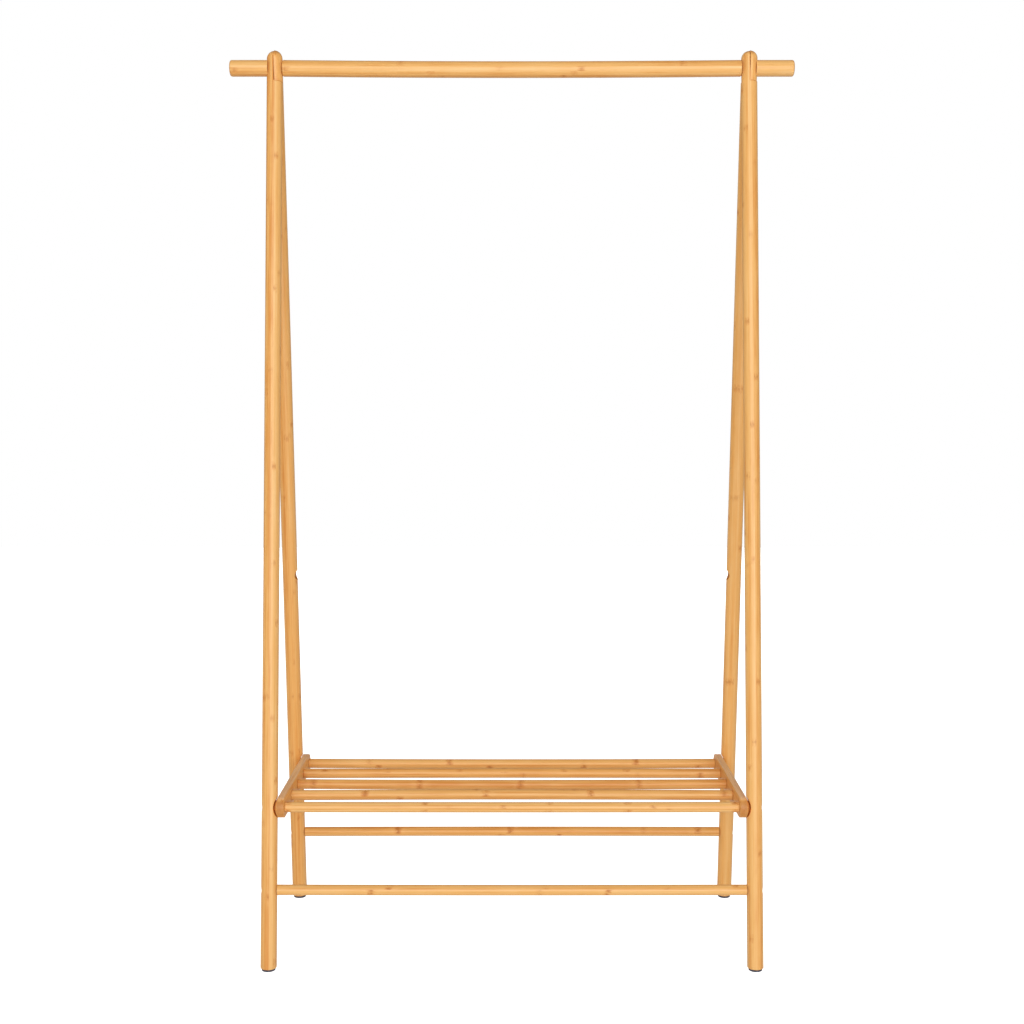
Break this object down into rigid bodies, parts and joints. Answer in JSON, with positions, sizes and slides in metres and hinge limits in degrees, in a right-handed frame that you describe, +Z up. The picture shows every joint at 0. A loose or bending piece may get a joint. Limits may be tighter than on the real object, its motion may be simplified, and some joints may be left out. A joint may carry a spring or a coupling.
{
  "type": "clothes rack",
  "caption": "Bamboo A-frame clothes rack with a hanging rod through the leg heads, round stretchers, foot pads and a low slatted shelf that swings up on bolts in the front legs.",
  "frame": {"origin": "on the floor, midway between the four feet", "axes": "+Z up, +X along the hanging rod, +Y to the back, where the shelf rests on the rear legs"},
  "size_m": [1, 0.4012, 1.6],
  "materials": {
    "bamboo_pole": "clear satin lacquer",
    "bamboo_bar": "clear satin lacquer",
    "bamboo_rail": "clear satin lacquer on laminated strips",
    "foot_rubber": "matt",
    "zinc_steel": "zinc plated",
    "brass_insert": "machined"
  },
  "bodies": {
    "frame": {"front_leg_left": "bamboo_pole", "front_leg_right": "bamboo_pole", "rear_leg_left": "bamboo_pole", "rear_leg_right": "bamboo_pole", "foot_pad_front_left": "foot_rubber", "foot_pad_front_right": "foot_rubber", "foot_pad_rear_left": "foot_rubber", "foot_pad_rear_right": "foot_rubber", "foot_screws": "zinc_steel", "hanging_rod": "bamboo_pole", "rod_end_left": "bamboo_pole", "rod_end_right": "bamboo_pole", "apex_stud_left": "zinc_steel", "apex_stud_right": "zinc_steel", "rod_inserts": "brass_insert", "front_stretcher": "bamboo_bar", "rear_stretcher": "bamboo_bar", "stretcher_bolts_front": "zinc_steel", "stretcher_bolts_rear": "zinc_steel", "stretcher_inserts": "brass_insert", "rest_peg_left": "bamboo_bar", "rest_peg_right": "bamboo_bar"},
    "shelf": {"shelf_rail_left": "bamboo_rail", "shelf_rail_right": "bamboo_rail", "shelf_bar_1": "bamboo_bar", "shelf_bar_2": "bamboo_bar", "shelf_bar_3": "bamboo_bar", "shelf_bar_4": "bamboo_bar", "shelf_bar_5": "bamboo_bar", "pivot_bolt_left": "zinc_steel", "pivot_bolt_right": "zinc_steel", "pivot_spacer_left": "bamboo_bar", "pivot_spacer_right": "bamboo_bar", "pivot_inserts": "brass_insert"}
  },
  "joints": [
    {"name": "shelf_swing", "type": "hinge", "parent": "frame", "child": "shelf", "pos_m": [0, -0.15394, 0.2775], "axis": [1, 0, 0], "range_deg": [0, 83]}
  ]
}
